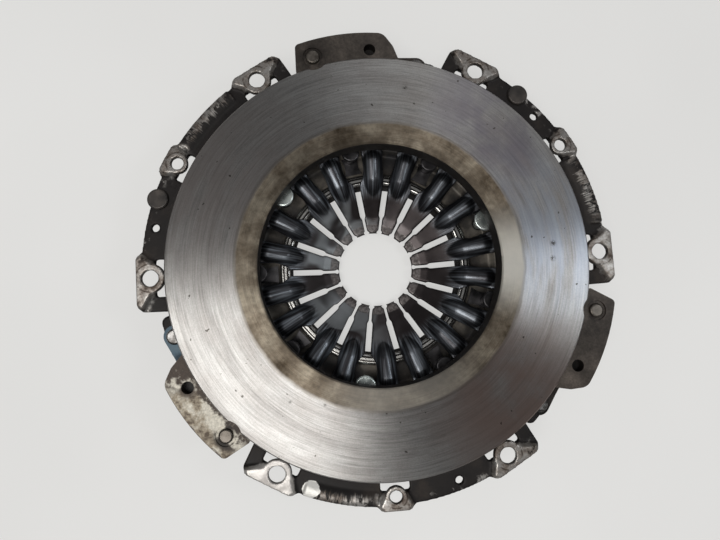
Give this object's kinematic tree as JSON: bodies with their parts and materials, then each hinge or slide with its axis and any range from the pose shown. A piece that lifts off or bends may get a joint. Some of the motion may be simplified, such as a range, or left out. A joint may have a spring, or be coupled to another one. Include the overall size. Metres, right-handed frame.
{
  "type": "clutch pressure plate",
  "caption": "Push-type diaphragm-spring clutch cover assembly: pressed steel cover, cast-iron pressure plate on drive straps, slotted diaphragm spring with embossed fingers.",
  "frame": {"origin": "on the clutch axis in the plane of the cover's mounting eyelets", "axes": "+Z along the clutch axis towards the flywheel, +X through a bolt eyelet"},
  "size_m": [0.2838, 0.2835, 0.048],
  "materials": {
    "black_pressed_steel": "black-coated pressed steel, worn bare on the raised eyelets",
    "spring_steel": "dark oiled heat-treated spring steel, glossy on the embossed necks",
    "wire": "drawn spring wire",
    "dark_rivet": "dark oxide steel",
    "zinc_plate": "bright zinc plate with a greenish cast",
    "steel_rivet": "bare cold-headed steel",
    "cast_iron": "grey iron, friction face ground and worn bright, lugs as cast and browned",
    "blued_strap": "blued spring strip"
  },
  "bodies": {
    "root": {"cover": "black_pressed_steel", "diaphragm_spring": "spring_steel", "fulcrum_ring_plate_side": "wire", "fulcrum_ring_cover_side": "wire", "spacer_rivets": "dark_rivet", "stop_rivets": "zinc_plate", "retaining_clips": "dark_rivet", "strap_anchor_rivets": "steel_rivet", "balance_rivets": "dark_rivet", "strap_1_leaf_1": "blued_strap", "strap_1_leaf_2": "blued_strap", "strap_1_leaf_3": "blued_strap", "strap_2_leaf_1": "blued_strap", "strap_2_leaf_2": "blued_strap", "strap_2_leaf_3": "blued_strap", "strap_3_leaf_1": "blued_strap", "strap_3_leaf_2": "blued_strap", "strap_3_leaf_3": "blued_strap"},
    "pressure_plate": {"pressure_plate": "cast_iron", "lug_rivets": "dark_rivet"}
  },
  "joints": [
    {"name": "plate_lift", "type": "slide", "parent": "root", "child": "pressure_plate", "axis": [0, 0, 1], "range_m": [-0.005, 0], "stiffness_N_per_m": 50000, "springref_m": 0.002, "deforming": ["diaphragm_spring", "strap_1_leaf_1", "strap_1_leaf_2", "strap_1_leaf_3", "strap_2_leaf_1", "strap_2_leaf_2", "strap_2_leaf_3", "strap_3_leaf_1", "strap_3_leaf_2", "strap_3_leaf_3"]}
  ]
}
